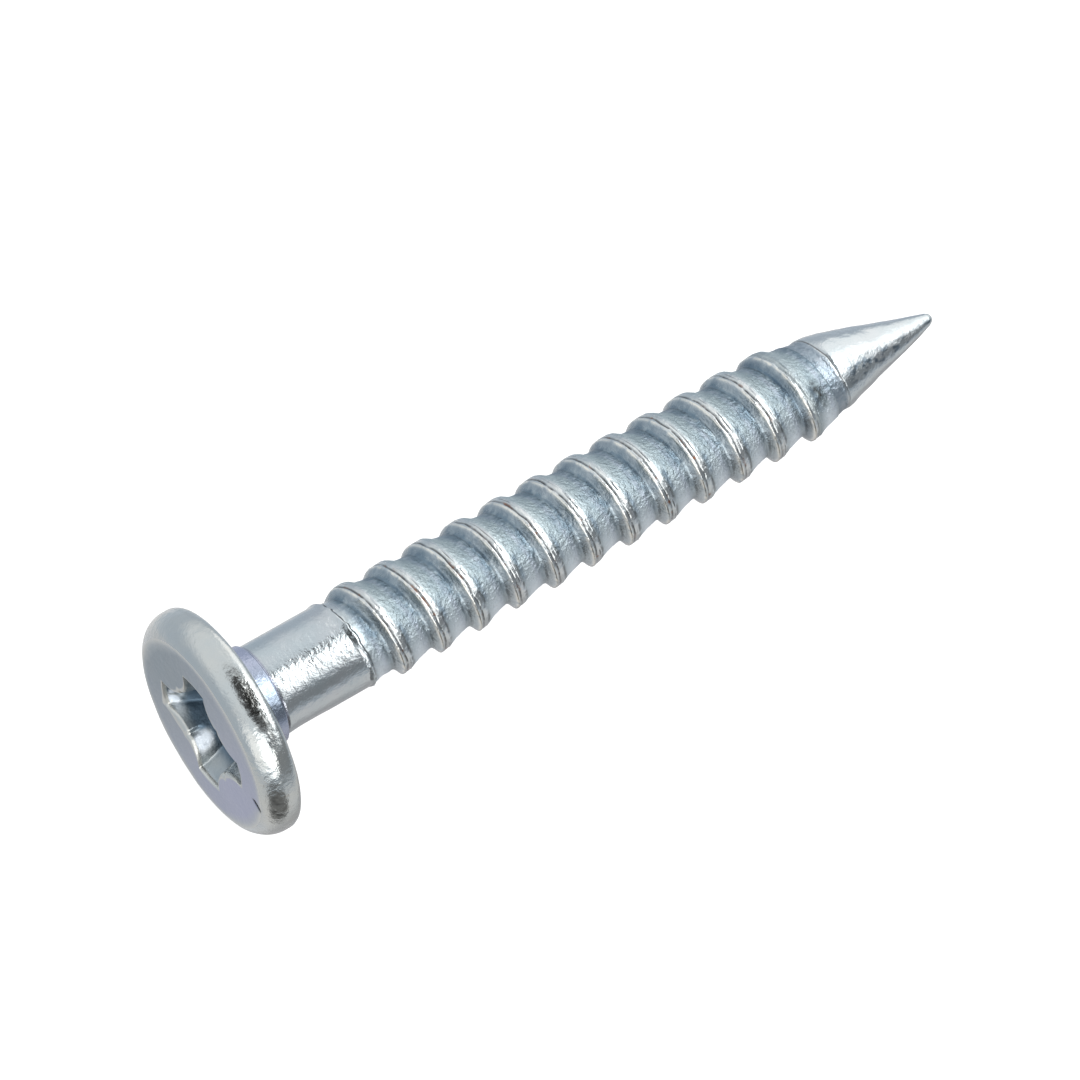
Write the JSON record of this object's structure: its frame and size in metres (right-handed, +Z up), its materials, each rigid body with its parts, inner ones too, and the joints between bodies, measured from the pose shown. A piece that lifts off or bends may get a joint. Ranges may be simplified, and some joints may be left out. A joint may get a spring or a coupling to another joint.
{
  "type": "wall anchor drive screw",
  "caption": "Hammer-set drive screw of a wall anchor: wide flat head with a cross recess, short neck, plain shank, right-hand saw-tooth thread and conical point.",
  "frame": {"origin": "centre of the head's seat, the flat underside that bears on the sleeve's collar or the fixture", "axes": "+X along the screw's axis from the seat to the point, into the wall; +Z up; +Y completes a right-handed frame"},
  "size_m": [0.0419, 0.0114, 0.0113],
  "materials": {
    "head_zinc": "satin blue-white zinc plate with a bright rolled rim",
    "neck_zinc": "satin zinc plate with a violet-blue passivation tint",
    "shank_zinc": "bright drawn zinc plate with fine speckle",
    "thread_zinc": "semi-matte blue-white zinc plate, bright on the crests",
    "point_zinc": "semi-bright zinc plate with fine pits"
  },
  "bodies": {
    "root": {"head": "head_zinc", "neck": "neck_zinc", "shank": "shank_zinc", "thread": "thread_zinc", "point": "point_zinc"}
  },
  "joints": []
}
